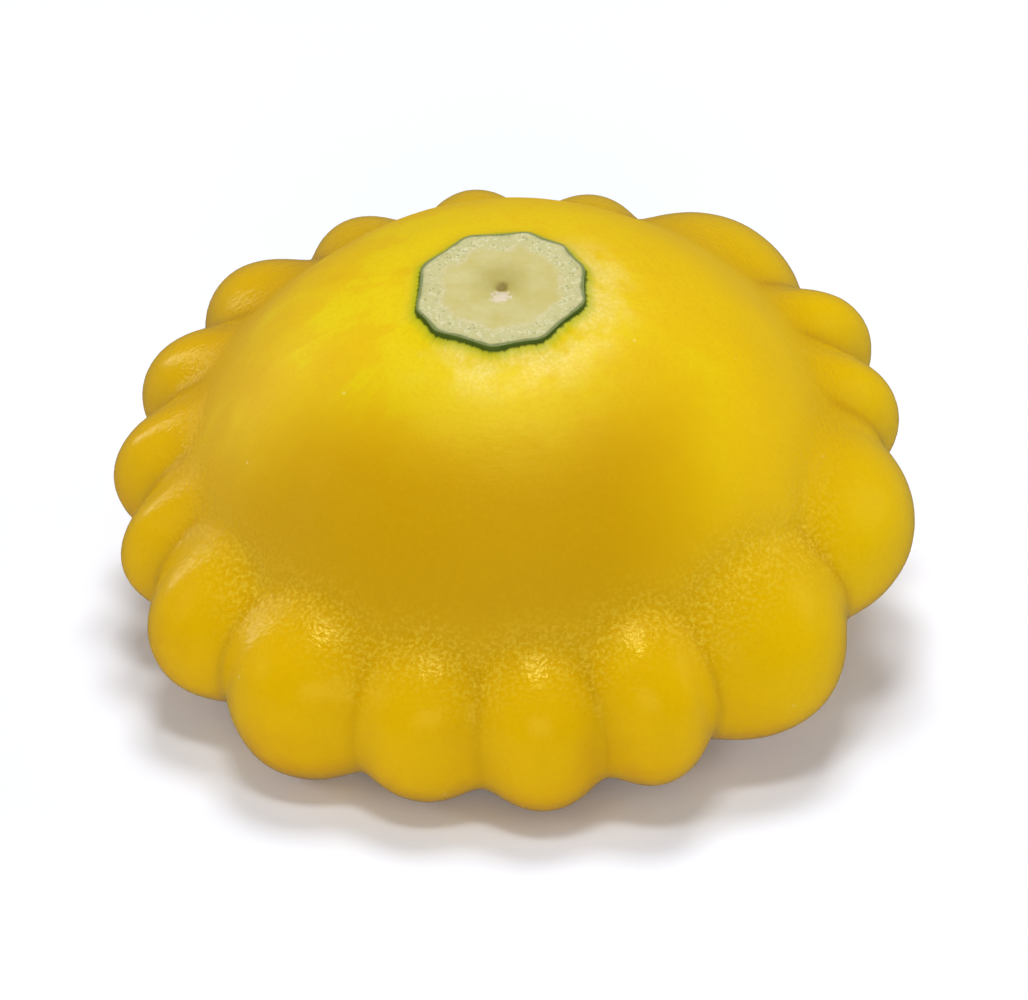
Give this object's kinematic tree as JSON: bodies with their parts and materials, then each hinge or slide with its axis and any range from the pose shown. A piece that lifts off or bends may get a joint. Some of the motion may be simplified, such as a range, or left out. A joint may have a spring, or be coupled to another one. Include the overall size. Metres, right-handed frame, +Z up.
{
  "type": "pattypan squash",
  "caption": "Whole pattypan squash, a domed fruit ringed with rounded lobes, with its stem cut short, resting a little tipped on its belly.",
  "frame": {"origin": "on the ground, under the middle of the bounding box of the squash as it lies", "axes": "+Z up, -Y towards the side the stem leans to, +X to the right seen from that side"},
  "size_m": [0.1006, 0.1006, 0.0557],
  "materials": {
    "skin": "satin yellow squash skin with fine pores",
    "cut_stem": "matte pale green cut stem with a dark green rim"
  },
  "bodies": {
    "root": {"squash_fruit": "skin", "stem_stub": "cut_stem"}
  },
  "joints": []
}
